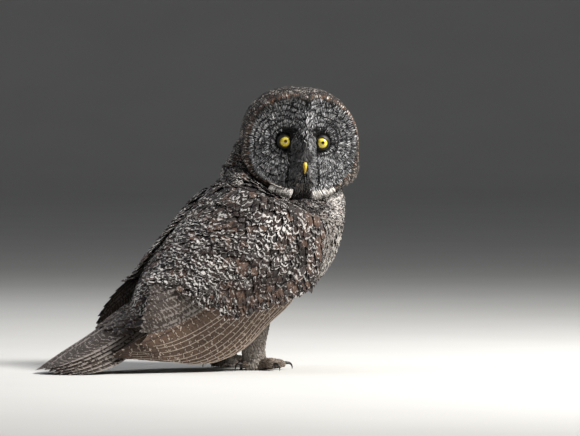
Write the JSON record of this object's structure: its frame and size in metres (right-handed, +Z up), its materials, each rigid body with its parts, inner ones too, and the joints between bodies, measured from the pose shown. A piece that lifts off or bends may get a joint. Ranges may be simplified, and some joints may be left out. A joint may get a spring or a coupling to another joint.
{
  "type": "great grey owl model",
  "caption": "Life-size still model of a great grey owl standing with folded wings, its large round face turned over one shoulder and its tail laid on the ground.",
  "frame": {"origin": "middle of the outer box, on the floor", "axes": "+X the way the breast faces, along the bird from tail to breast, +Y to the bird's left, +Z up"},
  "size_m": [0.4942, 0.2118, 0.3912],
  "materials": {
    "plumage_grey": "soft matt plumage, dark grey-brown with fine whitish wavy barring",
    "plumage_brown": "matt flight and tail feathers, brown with pale broken bars",
    "plumage_pale": "soft matt plumage, grey with fine dark marks",
    "eye": "clear gloss, yellow round a small black pupil",
    "lid": "black bare skin, slightly moist",
    "bill": "smooth yellow horn, satin",
    "claw": "smooth black horn, satin"
  },
  "bodies": {
    "root": {"torso": "plumage_grey", "neck": "plumage_grey", "head": "plumage_pale", "bill_upper": "bill", "bill_lower": "bill", "eye_right": "eye", "lids_right": "lid", "wing_right": "plumage_brown", "leg_right": "plumage_pale", "foot_right": "plumage_pale", "claw_right_inner": "claw", "claw_right_middle": "claw", "claw_right_outer": "claw", "claw_right_hind": "claw", "eye_left": "eye", "lids_left": "lid", "wing_left": "plumage_brown", "leg_left": "plumage_pale", "foot_left": "plumage_pale", "claw_left_inner": "claw", "claw_left_middle": "claw", "claw_left_outer": "claw", "claw_left_hind": "claw", "tail": "plumage_brown"}
  },
  "joints": []
}
